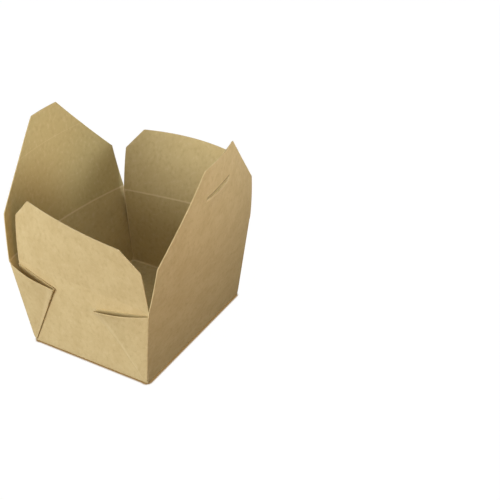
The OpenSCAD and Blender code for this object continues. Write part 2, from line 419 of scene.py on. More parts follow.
@dataclass
class Tray:
    """Floor, four walls and four corner ears, folded and glued from one blank.

    Sizes are in millimetres, to the middle of the board. side_half and end_half are half lengths of the
    rims, stack is how far an ear's layers move a corner fold out, and bows holds how far the middle of
    each rim stands out. A wall's bow grows up it with the power bow_rise, an ear's mouth opens with the
    power mouth_rise, and its gape lies nearer to the corner for a smaller gape_skew. ears is keyed by the
    signs of a corner's x and y. foot_rows and even_rows hold rows as shares of the ears' height, and
    rim_rows counts those over the ears. The rest count the columns of a wall, of a fold, a layer, a half
    turn and the band of painted highlight on an ear's outer fold.
    """

    board: Board
    racking: Racking
    floor_half: tuple[float, float] = (45.75, 56.25)
    side_half: float = 61.5
    end_half: float = 52.15
    ear_top: float = 60.4
    stack: float = 1.0
    bow_rise: float = 1.25
    mouth_rise: int = 6
    gape_skew: float = 0.9
    foot_rows: tuple[float, ...] = (0.0, 0.02, 0.045)
    even_rows: tuple[float, float, int] = (0.08, 0.985, 14)
    rim_rows: int = 3
    columns: int = 41
    fold_steps: int = 4
    layer_steps: int = 13
    turn_steps: int = 6
    highlight_steps: int = 4
    bows: dict[Side, float] = field(default_factory=dict)
    ears: dict[tuple[int, int], Ear] = field(default_factory=dict)

    def half(self, side: Side) -> float:
        """Half length of the wall's rim."""
        return self.side_half if side in (Side.LEFT, Side.RIGHT) else self.end_half

    def bow(self, side: Side, u: Array, v: Array) -> Array:
        """How far a wall stands out: its rim bow, times 1 minus u squared, growing up the wall."""
        share = np.clip(1.0 - u * u, 0.0, 1.0) * v ** self.bow_rise
        return self.bows[side] * share[..., None] * side.outward

    def foot(self, sx: int, sy: int) -> Array:
        """Corner of the floor."""
        return np.array([sx * self.floor_half[0], sy * self.floor_half[1], self.board.thickness / 2])

    def rim_corner(self, side: Side, sign: int) -> Array:
        """End of a wall's crease, with the racking of that corner.

        A side wall reaches past the end wall by the mouth of the ear's pocket there. An end wall
        is pulled inwards, along itself and across, by that corner's slack.

        Args:
            side: Side of the box.
            sign: 1 for the crease's second end, -1 for its first.

        Returns:
            The point.
        """
        if side in (Side.LEFT, Side.RIGHT):
            reach, pull = abs(Side.NEAR.crease[1]) + self.ears[int(side.outward[0]), sign].pocket, 0.0
        else:
            narrowed, pull = self.ears[sign, int(side.outward[1])].slack
            reach = self.end_half - narrowed
        place = side.crease + sign * reach * side.along - pull * side.outward
        return place + self.racking.at(side, np.array(float(sign)))

    def rim(self, side: Side, u: Array) -> Array:
        """Crease line at place u, straight between the two corners of its side."""
        share = (np.asarray(u, float)[..., None] + 1.0) / 2.0
        return mix(self.rim_corner(side, -1), self.rim_corner(side, 1), share)

    def heights(self) -> tuple[Array, Array]:
        """Shares of the wall's height at which rows lie.

        Returns:
            The rows up to the ears' top, and the rows up to the rim.
        """
        lower = np.concatenate([self.foot_rows, np.linspace(*self.even_rows), [1.0]])
        top = self.ear_top / Side.LEFT.crease[2]
        return lower * top, np.concatenate([lower * top, np.linspace(top, 1.0, self.rim_rows + 1)[1:]])

    def corner_edge(self, sx: int, sy: int, v: Array) -> Array:
        """Fold between a side wall and an ear.

        A straight line from foot to rim, moved out over the ear's two layers, which taper away
        at the foot.

        Args:
            sx: 1 for a right corner, -1 for a left one.
            sy: 1 for a far corner, -1 for a near one.
            v: Shares of the wall's height.

        Returns:
            One point for each share.
        """
        side = Side.RIGHT if sx > 0 else Side.LEFT
        end = Side.FAR if sy > 0 else Side.NEAR
        foot, top = self.foot(sx, sy), self.rim_corner(side, sy)
        rise = np.clip(v * top[2] / self.board.foot_taper, 0.0, 1.0)
        bulge = self.stack * rise * (1.0 - v)
        return mix(foot, top, v[:, None]) + bulge[:, None] * end.outward

    def wall_edge(self, sx: int, sy: int, v: Array) -> Array:
        """Side edge of an end wall, straight from the foot to the end of its crease."""
        end = Side.FAR if sy > 0 else Side.NEAR
        return mix(self.foot(sx, sy), self.rim_corner(end, sx), v[:, None])

    def reach(self, rows: Array, length: float) -> Array:
        """Half width of a rounded fold: the board's reach, or half the way to the foot if less."""
        return np.minimum(self.board.fold_reach, 0.5 * rows * length)

    def fold_start(self, sx: int, sy: int, v: Array) -> Array:
        """Where a side wall turns into the corner fold, and above the ear its free edge.

        The corner fold's points, moved along the wall by the fold's half width.

        Args:
            sx: 1 for a right corner, -1 for a left one.
            sy: 1 for a far corner, -1 for a near one.
            v: Shares of the wall's height.

        Returns:
            One point for each share.
        """
        edge = self.corner_edge(sx, sy, v)
        inwards = direction(self.corner_edge(sx, -sy, v) - edge)
        reach = np.where(v <= self.heights()[0][-1] + TINY, self.reach(v, edge[-1, 2]), 0.0)
        return edge + reach[:, None] * inwards

    def wall(self, sheet: Sheet, side: Side) -> None:
        """One wall with the rounded fold at its foot.

        A point is the straight blend of the wall's two end edges at its height, moved out by the
        bow. The foot fold is a quadratic curve from the floor to the wall, as wide as its reach.

        Args:
            sheet: Sheet that the wall is added to.
            side: Which wall.
        """
        v = self.heights()[1]
        u = np.linspace(-1.0, 1.0, self.columns)
        is_side = side in (Side.LEFT, Side.RIGHT)
        sign = int(side.outward.sum())
        offset, half = self.floor_half if is_side else self.floor_half[::-1]
        if is_side:
            first, second = self.fold_start(sign, -1, v), self.fold_start(sign, 1, v)
        else:
            first, second = self.wall_edge(-1, sign, v), self.wall_edge(1, sign, v)
        grid = mix(first[:, None], second[:, None], (u[None, :, None] + 1.0) / 2.0)
        grid = grid + self.bow(side, u[None, :] + 0 * v[:, None], v[:, None] + 0 * u[None, :])
        edge = grid[0]
        width = self.base_reach(u, half)[:, None]
        climb = direction(grid[2] - edge)
        turns = np.linspace(0.0, 1.0, self.fold_steps + 1)[:, None, None]
        fold = edge + width * (turns ** 2 * climb - (1 - turns) ** 2 * side.outward)
        grid = np.concatenate([fold, grid[2:]])
        rise = np.concatenate([np.zeros(len(fold)), v[2:] * side.crease[2]])
        across = (u * half)[None, :] + 0 * rise[:, None]
        up = rise[:, None] + 0 * u[None, :]
        away = sign * (offset + up)
        flat = np.stack([away, across] if is_side else [across, away], -1)
        ends = (1.0 - np.abs(u))[None, :] * half
        near_fold = np.minimum(np.minimum(up, side.crease[2] - up), ends + 0 * up)
        sheet.add(grid, flat, near_fold, np.full_like(up, NO_CUT))

    def base_reach(self, u: Array, half: float) -> Array:
        """Half width of a floor fold: the board's reach, or 0.4 of the way to a corner if less."""
        return np.minimum(self.board.fold_reach, 0.4 * (1.0 - np.abs(u)) * half)

    def floor(self, sheet: Sheet) -> None:
        """The floor: a level grid whose edges keep clear of the rounded folds.

        Args:
            sheet: Sheet that the floor is added to.
        """
        u = np.linspace(-1.0, 1.0, self.columns)
        half_x, half_y = self.floor_half
        x = u[None, :] * (half_x - self.base_reach(u, half_y)[:, None])
        y = u[:, None] * (half_y - self.base_reach(u, half_x)[None, :])
        grid = np.stack([x, y, np.full_like(x, self.board.thickness / 2)], -1)
        fold = np.minimum(half_x - np.abs(x), half_y - np.abs(y))
        fold = np.clip(fold - self.board.fold_reach, 0.0, None)
        sheet.add(grid, np.stack([x, y], -1), fold, np.full_like(x, NO_CUT))

    def ear_plane(self, sx: int, sy: int) -> tuple[Array, Array]:
        """Way out of an end wall, and the tip of the ear's diagonal in the wall's plane.

        The wall's upright runs from the middle of its foot to the middle between its side edges,
        and its way out is the cross product of the crease and the upright.

        Args:
            sx: 1 for a right corner, -1 for a left one.
            sy: 1 for a far corner, -1 for a near one.

        Returns:
            The unit vector out of the wall, and the tip.
        """
        end = Side.FAR if sy > 0 else Side.NEAR
        top = self.heights()[0][-1:]
        middle = mix(self.foot(sx, sy), self.foot(-sx, sy), 0.5)
        upright = mix(self.wall_edge(sx, sy, top), self.wall_edge(-sx, sy, top), 0.5)[0] - middle
        upright = direction(upright)
        normal = -sy * direction(np.cross(end.along, upright))
        tip_in, tip_up = self.ears[sx, sy].tip
        return normal, middle + sx * tip_in * end.along + tip_up * upright

    def half_turn(self, centre: Array, radius: Array, first: Array, second: Array) -> list[Array]:
        """Columns round a fold: centre plus radius times the turn's cosine and sine.

        Args:
            centre: Middle of the fold in each row.
            radius: Radius of the fold in each row.
            first: Unit vector from the centre to the fold's start.
            second: Unit vector from the centre to the fold's crest.

        Returns:
            The columns after the fold's start.
        """
        turns = np.linspace(0.0, math.pi, self.turn_steps + 1)[1:]
        return [centre + radius * (math.cos(a) * first + math.sin(a) * second) for a in turns]

    def ear_grid(self, sx: int, sy: int) -> Array:
        """Points of one ear, before the wall's bow.

        Rows run from the foot to the web's top edge. Columns run round the corner fold, along the
        outer layer to the diagonal, through a half turn, back along the inner layer, and through
        a second half turn into the end wall's side edge. Layers lie one board apart, plus the
        mouth at the tip of the diagonal, which shrinks with a power of the height. All spacings
        taper to nothing at the foot, where every crease of the corner meets.

        Args:
            sx: 1 for a right corner, -1 for a left one.
            sy: 1 for a far corner, -1 for a near one.

        Returns:
            Points, rows by columns by three.
        """
        end = Side.FAR if sy > 0 else Side.NEAR
        ear = self.ears[sx, sy]
        v = self.heights()[0]
        rows = (v / v[-1])[:, None]
        foot = self.foot(sx, sy)
        normal, tip = self.ear_plane(sx, sy)
        edge, side_edge = self.corner_edge(sx, sy, v), self.wall_edge(sx, sy, v)
        layer = self.board.thickness * np.clip(rows * ear.tip[1] / self.board.foot_taper, 0.0, 1.0)
        stand = ear.mouth * rows ** self.mouth_rise
        diagonal = foot + rows * (tip - foot)
        away = direction(np.cross(normal, tip - foot))
        away = away * -np.sign(away[0] * sx)
        outer = diagonal + (2.0 * layer + stand) * normal
        inwards = self.fold_start(sx, sy, v) - edge
        reach = self.reach(v, edge[-1, 2])[:, None]
        to_tip = outer - edge
        to_tip = to_tip / np.maximum(np.linalg.norm(to_tip, axis=1, keepdims=True), TINY)
        columns = [edge + (1 - t) ** 2 * inwards + t ** 2 * reach * to_tip
                   for t in np.linspace(0.0, 1.0, self.fold_steps + 1)]
        start = columns[-1]
        swell = ear.gape * rows ** 2 * normal
        shares = np.linspace(0.0, 1.0, self.layer_steps + 1)[1:]
        columns += [mix(start, outer, s) + math.sin(math.pi * s ** self.gape_skew) * swell for s in shares]
        centre = diagonal + (1.5 * layer + 0.5 * stand) * normal
        columns += self.half_turn(centre, 0.5 * (layer + stand), normal, away)
        columns += [mix(diagonal + layer * normal, side_edge + layer * normal, s) for s in shares]
        centre = side_edge + 0.5 * layer * normal
        columns += self.half_turn(centre, 0.5 * layer, normal, sx * end.along)
        return np.stack(columns, 1)

    def ear(self, sheet: Sheet, sx: int, sy: int) -> None:
        """One ear: the corner web folded double along its diagonal and laid on the end wall.

        It follows the end wall's bow, but for its first column, which the side wall shares. The outer fold
        along the diagonal and the top edge of the outer layer get a painted highlight.

        Args:
            sheet: Sheet that the ear is added to.
            sx: 1 for a right corner, -1 for a left one.
            sy: 1 for a far corner, -1 for a near one.
        """
        end = Side.FAR if sy > 0 else Side.NEAR
        v = self.heights()[0]
        rows = v / v[-1]
        foot, side_edge = self.foot(sx, sy), self.wall_edge(sx, sy, v)
        grid = self.ear_grid(sx, sy)
        steps = np.concatenate([[0.0], np.cumsum(np.linalg.norm(np.diff(grid[-1], axis=0), axis=1))])
        crest = self.fold_steps + self.layer_steps + self.turn_steps // 2
        fold = np.minimum(np.minimum(steps, np.abs(steps - steps[crest])), steps[-1] - steps)
        fold = rows[:, None] * np.maximum(fold - self.board.fold_reach, 0.0)[None, :]
        share = np.abs(grid[..., 0]) / np.maximum(np.abs(side_edge[:, :1]), 1.0)
        corner = grid[:, 0].copy()
        grid = grid + self.bow(end, share, v[:, None] + 0 * share)
        grid[:, 0] = corner
        across = foot[0] + sx * rows[:, None] * steps[None, :]
        up = foot[1] + sy * v[:, None] * side_edge[-1, 2] + 0 * across
        cut = (1.0 - rows)[:, None] * self.ears[sx, sy].tip[1] + 0 * across
        mark = np.zeros_like(fold)
        # Painted highlight on the outer fold of the diagonal and on the outer layer's top edge
        mark[:, crest - self.highlight_steps:crest + 1] = -self.board.fold_highlight
        mark[-1, :crest + 1] = -self.board.fold_highlight
        sheet.add(grid, np.stack([across, up], -1), fold, cut, mark=mark)

    def build(self) -> bpy.types.Object:
        """Build the whole tray as one sheet.

        Returns:
            The tray, riding on its body in place of the plain node.
        """
        sheet = Sheet(self.board)
        self.floor(sheet)
        for side in Side:
            self.wall(sheet, side)
        for sx in (-1, 1):
            for sy in (-1, 1):
                self.ear(sheet, sx, sy)
        piece = sheet.build("folded_tray", -OUTSIDE * UP)
        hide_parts("tray")
        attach(piece, "tray")
        return piece


@dataclass
class Flap:
    """One flap of board on its rim crease. Sizes are in millimetres.

    outline holds half widths and heights from the crease to the top. The number after slit is how much
    painted shade, a greyer and darker tone, the flap's inner side takes. crease_blend is meant as the
    height over which the board bends when the flap turns, and is not used. blank_root is the place of the
    crease on the blank. The rest places the grid's rows and columns, which stand closer at the edges.
    """

    side: Side
    tray: Tray
    bend: Bend
    outline: tuple[tuple[float, float], ...]
    name: str
    score: Optional[Score] = None
    slit: Optional[Slit] = None
    painted_shade: float = 0.8
    crease_blend: float = 4.0
    blank_root: float = 120.0
    arc_steps: int = 4
    crease_rows: tuple[float, ...] = (0.4, 1.0, 1.8, 3.0, 4.5)
    row_step: float = 2.5
    row_gap: float = 1.0
    edge_columns: tuple[float, float] = (0.985, 1.0)
    even_columns: tuple[float, int] = (0.96, 49)
    column_gap: float = 0.012

    @property
    def top(self) -> float:
        """Height of the flap's top edge."""
        return self.outline[-1][1]

    def half_width(self, b: Array) -> Array:
        """Half width at height b, with the cut corners rounded."""
        widths, heights = (np.array(c) for c in zip(*self.rounded()))
        return np.interp(b, heights, widths)

    def rounded(self) -> list[tuple[float, float]]:
        """Outline with each corner but the root's replaced by the points of its arc.

        Each arc is the quadratic curve that touches both edges at the cut radius times the
        tangent of half the turn.

        Returns:
            Half widths and heights.
        """
        radius = self.tray.board.cut_radius
        points = [np.array(p) for p in self.outline]
        mirrored = points + [np.array([-points[-1][0], points[-1][1]])]
        rows = [tuple(points[0])]
        for before, corner, after in zip(mirrored[:-2], mirrored[1:-1], mirrored[2:]):
            back, on = direction(before - corner), direction(after - corner)
            turn = math.pi - math.acos(float(np.clip(back @ on, -1.0, 1.0)))
            touch = radius * math.tan(turn / 2.0)
            for t in np.linspace(0.0, 1.0, self.arc_steps + 1):
                place = corner + touch * ((1 - t) ** 2 * back + t ** 2 * on)
                rows.append((float(place[0]), float(place[1])))
        return rows

    def heights(self) -> Array:
        """Heights of the rows: the crease, the arcs' points, the score, the slit and even steps.

        Returns:
            Heights from the crease to the top.
        """
        marks = [height for _, height in self.rounded()] + list(self.crease_rows)
        marks.append(self.top - self.row_gap)
        if self.score:
            marks += [self.score.height + d for d in self.score.rows]
        if self.slit:
            marks += [self.slit.bottom, self.slit.top]
            marks += [self.slit.top + d for d in self.slit.rows_over]
            marks += [self.slit.bottom - d for d in self.slit.rows_under]
        fine = sorted(set(np.round(marks, 4)))
        even = np.arange(0.0, self.top, self.row_step)
        steps = [h for h in even if min(abs(h - m) for m in fine) > self.row_gap]
        return np.array(sorted(fine + steps))

    def shares(self) -> Array:
        """Columns as shares of the half width, with one at each end of the slit.

        Returns:
            Shares from -1 to 1.
        """
        outermost = np.array(self.edge_columns)
        reach, count = self.even_columns
        shares = np.concatenate([-outermost[::-1], np.linspace(-reach, reach, count), outermost])
        if not self.slit:
            return shares
        end = self.slit_share()
        kept = shares[np.abs(np.abs(shares) - end) > self.column_gap]
        return np.array(sorted(set(np.round(np.concatenate([kept, [-end, end]]), 6))))

    def slit_share(self) -> float:
        """Share of the half width at which the slit ends."""
        return self.slit.length / 2.0 / self.half_width(np.array([self.slit.height]))[0]

    def hole(self, b: Array, shares: Array) -> Optional[Array]:
        """Cells of the grid that the slit cuts away.

        Args:
            b: Heights of the rows.
            shares: Columns as shares of the half width.

        Returns:
            True for each cut cell, or None for a flap without a slit.
        """
        if not self.slit:
            return None
        rows = (b[:-1] + b[1:]) / 2.0
        columns = (shares[:-1] + shares[1:]) / 2.0
        within = np.abs(rows - self.slit.height) < self.slit.width / 2.0
        return within[:, None] & (np.abs(columns) < self.slit_share())[None, :]

    def surface(self, a: Array, b: Array) -> Array:
        """Point of the middle surface at a along the crease and b up the flap.

        The crease's own point, plus out by the bow times 1 minus u squared and b times the sine
        of the lean, and up by b times its cosine. Beyond the score the board leans further out.

        Args:
            a: Place along the crease.
            b: Height up the flap.

        Returns:
            Points with x, y and z on the last axis.
        """
        u = a / self.tray.half(self.side)
        angle = self.bend.angle(u, b)
        bow = mix(self.tray.bows[self.side], self.bend.bow, b / self.top) * np.clip(1.0 - u * u, 0.0, 1.0)
        out = bow + b * np.sin(angle)
        if self.score:
            beyond = np.clip(b - self.score.height, 0.0, None)
            out = out + beyond * math.tan(math.radians(self.score.bend))
        rise = (b * np.cos(angle))[..., None] * UP
        return self.tray.rim(self.side, u) + out[..., None] * self.side.outward + rise

    def lift(self, a: Array, b: Array) -> Array:
        """How far the lower lip of the slit is bent out.

        The lip times 1 minus the square of the place along the slit, eased in up the board under
        the slit.

        Args:
            a: Place along the crease.
            b: Height up the flap.

        Returns:
            Distances outwards.
        """
        if not self.slit:
            return np.zeros_like(a)
        across = np.clip(1.0 - (2.0 * a / self.slit.length) ** 2, 0.0, 1.0)
        slope = smooth(self.slit.height - self.slit.reach, self.slit.bottom, b)
        return self.slit.lip * across * np.where(b < self.slit.height, slope, 0.0)

    def slit_light(self, a: Array, b: Array) -> Array:
        """Painted shadow over the slit and painted highlight under it, which fade out at its ends.

        Args:
            a: Place along the crease.
            b: Height up the flap.

        Returns:
            1 on the painted shadow over the slit and -1 on the painted highlight under it.
        """
        if not self.slit:
            return np.zeros_like(a)
        away = np.abs(b - self.slit.height) - self.slit.width / 2
        over, under = (smooth(gone, full, away) for full, gone in (self.slit.shadow_band, self.slit.highlight_band))
        past, fade = self.slit.ends
        last = self.slit.length / 2 + past
        return np.where(b > self.slit.height, over, -under) * smooth(last, last - fade, np.abs(a))

    def build(self) -> bpy.types.Object:
        """Build the flap on its crease.

        Returns:
            The flap, in place of its plain node.
        """
        b, shares = self.heights(), self.shares()
        half = self.half_width(b)
        a = half[:, None] * shares[None, :]
        up = b[:, None] + 0 * a
        grid = self.surface(a, up) + self.lift(a, up)[..., None] * self.side.outward
        cut = np.minimum(np.minimum((half[:, None] - np.abs(a)), self.top - up), NO_CUT)
        flat = np.stack([a, up + self.blank_root], -1)
        fold = up
        if self.score:
            fold = np.minimum(up, self.score.distance + self.score.fade * np.abs(up - self.score.height))
        sheet = Sheet(self.tray.board, painted_shade=self.painted_shade)
        sheet.add(grid, flat, fold, cut, self.hole(b, shares), self.slit_light(a, up))
        piece = sheet.build(self.name, grid[0, 0] + OUTSIDE * self.side.outward)
        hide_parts(self.side.node)
        ends = self.surface(np.array([-1.0, 1.0]) * self.tray.half(self.side), np.zeros(2))
        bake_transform(piece)
        return piece


def linear(code: str) -> tuple[float, float, float, float]:
    """Turn an sRGB hex colour to the linear values that a shader takes.

    Args:
        code: Six hex digits after a hash.

    Returns:
        Red, green, blue and alpha.
    """
    parts = [int(code[i:i + 2], 16) / 255.0 for i in (1, 3, 5)]
    return (*[c / 12.92 if c <= 0.04045 else ((c + 0.055) / 1.055) ** 2.4 for c in parts], 1.0)


@dataclass
class Shader:
    """The node tree of a material or a world, and the one way that nodes are added to it."""

    name: str
    world: bool = False

    def __post_init__(self) -> None:
        """Start an empty tree with its output."""
        self.owner = (bpy.data.worlds if self.world else bpy.data.materials).new(self.name)
        self.owner.use_nodes = True
        self.tree = self.owner.node_tree
        self.tree.nodes.clear()
        self.output = self.add("ShaderNodeOutputWorld" if self.world else "ShaderNodeOutputMaterial")

    def add(self, kind: str, settings: Optional[dict] = None,
            values: Optional[dict] = None) -> bpy.types.Node:
        """Add a node with its settings, and its inputs' values or links.

        Args:
            kind: Blender's name of the node's type.
            settings: Properties of the node by name.
            values: Inputs by name or index: a value, or an output socket to link.

        Returns:
            The node.
        """
        node = self.tree.nodes.new(kind)
        for key, value in (settings or {}).items():
            setattr(node, key, value)
        for key, value in (values or {}).items():
            if isinstance(value, bpy.types.NodeSocket):
                self.tree.links.new(value, node.inputs[key])
            else:
                node.inputs[key].default_value = value
        return node

    def finish(self, surface: bpy.types.NodeSocket) -> bpy.types.ID:
        """Link the surface to the output and return the material or world."""
        self.tree.links.new(surface, self.output.inputs["Surface"])
        return self.owner

    def seen_directly(self) -> bpy.types.NodeSocket:
        """Tell what is seen straight, mirrored or through glass from what only lights others.

        Returns:
            Socket that is 1 for what is seen and 0 for the rest.
        """
        paths = self.add("ShaderNodeLightPath")
        either = self.add("ShaderNodeMath", {"operation": "MAXIMUM"}, {
            0: paths.outputs["Is Camera Ray"], 1: paths.outputs["Is Transmission Ray"]})
        any_of = self.add("ShaderNodeMath", {"operation": "MAXIMUM"}, {
            0: either.outputs[0], 1: paths.outputs["Is Glossy Ray"]})
        return any_of.outputs[0]


class Tone(Enum):
    """Colours of kraft pulp, and of the painted shade, shadow and highlights laid on it, as sRGB hex
    values.
    """

    BOARD = "#CFB988"
    CLOUD = "#C8B180"
    # Painted shade of the inner faces
    INSIDE = "#BEAD76"
    DARK = "#A98F5E"
    PALE = "#DFCDA4"
    # Pale of stretched creases and cut edges, also used for painted highlights
    STRETCHED = "#E6D2A4"
    # Painted shadow in the slit's gap
    PRESSED = "#5E4A28"
    OPEN_PULP = "#E0CEA2"
    FIBRE_ENDS = "#C9B585"


@dataclass(frozen=True)
class Pattern:
    """A noise on the blank that draws one kind of mark in the pulp.

    size is a feature's width and length in millimetres, turn its angle in degrees, detail the
    noise's octaves and roughness how strong each octave is beside the one before.
    """

    size: tuple[float, float]
    turn: float
    detail: float
    roughness: float = 0.55


@dataclass(frozen=True)
class Layer:
    """A tone laid over the board's colour, eased in as a value goes from start to full.

    share is the tone's share where it is full, and faces holds what part of that the outer face
    and the inner one take.
    """

    tone: Tone
    start: float
    full: float
    share: float = 1.0
    faces: tuple[float, float] = (1.0, 1.0)


@dataclass(frozen=True)
class KraftBoard:
    """Brown kraft board, calendered and uncoated.

    It gives the eye a matt brown with hardly any sheen, soft clouds where the pulp settled, a mottle of
    short fibres, dark flecks and long pale and dark fibres. The inner face carries painted shade, a greyer
    and darker tone, and its mottle is a little stronger and its fine marks are fainter. Creases are pale
    where the board's skin is stretched. A painted shadow lies over the slit, and painted highlights lie
    under it and along the ears' outer folds and top edges. Real fibres are 0.02 to 0.05 mm wide, too fine
    to show, so the drawn ones are wider. sheen is the specular level, relief the bump's strength and its
    depth in millimetres, and the share before roughness is how much painted inner shade a shade of 1
    brings.
    """

    cloud: Pattern = Pattern((11.0, 17.6), 20.0, 2.0)
    mottle: Pattern = Pattern((2.7, 3.51), -15.0, 1.5)
    fleck: Pattern = Pattern((0.9, 0.9), 35.0, 2.0)
    fibre: Pattern = Pattern((0.35, 3.2), 24.0, 1.0)
    cross_fibre: Pattern = Pattern((3.2, 0.35), 12.0, 1.0)
    clouds: Layer = Layer(Tone.CLOUD, 0.3, 0.72)
    dark_mottle: Layer = Layer(Tone.DARK, 0.52, 0.72, 0.52, (0.42, 0.5))
    pale_mottle: Layer = Layer(Tone.PALE, 0.46, 0.28, 0.4, (0.42, 0.5))
    flecks: Layer = Layer(Tone.DARK, 0.6, 0.78, 0.42, (1.0, 0.4))
    pale_fibres: Layer = Layer(Tone.PALE, 0.62, 0.8, 0.4, (1.0, 0.4))
    dark_fibres: Layer = Layer(Tone.DARK, 0.64, 0.8, 0.35, (1.0, 0.4))
    creases: Layer = Layer(Tone.STRETCHED, 1.0, 0.25, 1.0, (0.04, 0.58))
    cut_edges: Layer = Layer(Tone.STRETCHED, 0.7, 0.1, 0.15)
    # Painted shadow over the slit, and painted highlights under it and on the ears' outer folds and top
    # edges
    slit_shadow: Layer = Layer(Tone.PRESSED, 0.0, 1.0, 0.55)
    painted_highlights: Layer = Layer(Tone.STRETCHED, 0.0, -1.0, 0.55)
    inner_shade_share: float = 0.4
    roughness: float = 0.82
    sheen: float = 0.18
    relief: tuple[float, float] = (0.12, 0.12)

    def draw(self, shader: Shader, pattern: Pattern) -> bpy.types.NodeSocket:
        """Draw a pattern on the blank, stretched so that its features have their real size.

        Args:
            shader: Tree that the nodes are added to.
            pattern: The pattern.

        Returns:
            Socket with the noise, from 0 to 1.
        """
        width, length = pattern.size
        place = shader.add("ShaderNodeUVMap", {"uv_map": "blank"})
        mapping = shader.add("ShaderNodeMapping", None, {
            "Vector": place.outputs["UV"], "Rotation": (0.0, 0.0, math.radians(pattern.turn)),
            "Scale": (BLANK_UNIT / width, BLANK_UNIT / length, 1.0)})
        noise = shader.add("ShaderNodeTexNoise", None, {
            "Vector": mapping.outputs["Vector"], "Scale": 1.0,
            "Detail": pattern.detail, "Roughness": pattern.roughness})
        return noise.outputs["Fac"]

    def lay(self, shader: Shader, colour: bpy.types.NodeSocket, value: bpy.types.NodeSocket,
            layer: Layer, inside: bpy.types.NodeSocket) -> bpy.types.NodeSocket:
        """Lay one tone over a colour.

        Args:
            shader: Tree that the nodes are added to.
            colour: Colour so far.
            value: Noise, distance or mark that the layer follows.
            layer: The layer.
            inside: 0 on the outer face and 1 on the inner one.

        Returns:
            Socket with the new colour.
        """
        eased = shader.add("ShaderNodeMapRange", {"interpolation_type": "SMOOTHSTEP"}, {
            "Value": value, "From Min": layer.start, "From Max": layer.full, "To Max": layer.share})
        face = shader.add("ShaderNodeMapRange", {"interpolation_type": "SMOOTHSTEP"}, {
            "Value": inside, "To Min": layer.faces[0], "To Max": layer.faces[1]})
        share = shader.add("ShaderNodeMath", {"operation": "MULTIPLY"}, {
            0: eased.outputs["Result"], 1: face.outputs["Result"]})
        mixed = shader.add("ShaderNodeMix", {"data_type": "RGBA"}, {
            0: share.outputs[0], 6: colour, 7: linear(layer.tone.value)})
        return mixed.outputs[2]

    def material(self) -> bpy.types.Material:
        """Build the board's face: its clouds and inner tone, then its grain, creases and marks.

        Returns:
            The material.
        """
        shader = Shader("kraft_board")
        inside, painted_shade, fold, cut, mark = (
            shader.add("ShaderNodeAttribute", {"attribute_name": name}).outputs["Fac"]
            for name in ("inside", "painted_shade", "fold", "cut", "mark"))
        cloud, mottle, fleck, fibre, cross_fibre = (
            self.draw(shader, pattern)
            for pattern in (self.cloud, self.mottle, self.fleck, self.fibre, self.cross_fibre))
        board = shader.add("ShaderNodeRGB")
        board.outputs[0].default_value = linear(Tone.BOARD.value)
        clouded = self.lay(shader, board.outputs[0], cloud, self.clouds, inside)
        # Painted shade: the inner side turns greyer and darker by each sheet's share
        share = shader.add("ShaderNodeMath", {"operation": "MULTIPLY"}, {0: painted_shade, 1: self.inner_shade_share})
        inner_shaded = shader.add("ShaderNodeMix", {"data_type": "RGBA"}, {
            0: share.outputs[0], 6: clouded, 7: linear(Tone.INSIDE.value)})
        colour = inner_shaded.outputs[2]
        for value, layer in (
            (mottle, self.dark_mottle), (mottle, self.pale_mottle), (fleck, self.flecks),
            (fibre, self.pale_fibres), (cross_fibre, self.dark_fibres), (fold, self.creases),
            (cut, self.cut_edges), (mark, self.slit_shadow), (mark, self.painted_highlights),
        ):
            colour = self.lay(shader, colour, value, layer, inside)
        height = shader.add("ShaderNodeMath", {"operation": "ADD"}, {0: fibre, 1: mottle})
        strength, depth = self.relief
        bump = shader.add("ShaderNodeBump", None, {
            "Strength": strength, "Distance": depth * MM, "Height": height.outputs[0]})
        surface = shader.add("ShaderNodeBsdfPrincipled", None, {
            "Base Color": colour, "Roughness": self.roughness, "Specular IOR Level": self.sheen,
            "Normal": bump.outputs["Normal"]})
        return shader.finish(surface.outputs["BSDF"])


@dataclass(frozen=True)
class CutEdge:
    """Die-cut edge of the board: open, paler pulp between the two faces.

    It gives the eye a thin, dull, pale line round each flap. The real fibre ends are too fine to
    show, so their dark runs are drawn as long as grain_mm. runs holds the noise at which a run
    starts and is full.
    """

    grain_mm: float = 0.8
    runs: tuple[float, float] = (0.4, 0.7)
    roughness: float = 0.9
    sheen: float = 0.3

    def material(self) -> bpy.types.Material:
        """Build the edge: pale pulp with short darker runs where fibres end.

        Returns:
            The material.
        """
        shader = Shader("kraft_board_cut_edge")
        place = shader.add("ShaderNodeTexCoord")
        noise = shader.add("ShaderNodeTexNoise", None, {
            "Vector": place.outputs["Object"], "Scale": 1.0 / (self.grain_mm * MM), "Detail": 2.0})
        share = shader.add("ShaderNodeMapRange", None, {
            "Value": noise.outputs["Fac"], "From Min": self.runs[0], "From Max": self.runs[1]})
        colour = shader.add("ShaderNodeMix", {"data_type": "RGBA"}, {
            0: share.outputs["Result"], 6: linear(Tone.OPEN_PULP.value), 7: linear(Tone.FIBRE_ENDS.value)})
        surface = shader.add("ShaderNodeBsdfPrincipled", None, {
            "Base Color": colour.outputs[2], "Roughness": self.roughness,
            "Specular IOR Level": self.sheen})
        return shader.finish(surface.outputs["BSDF"])


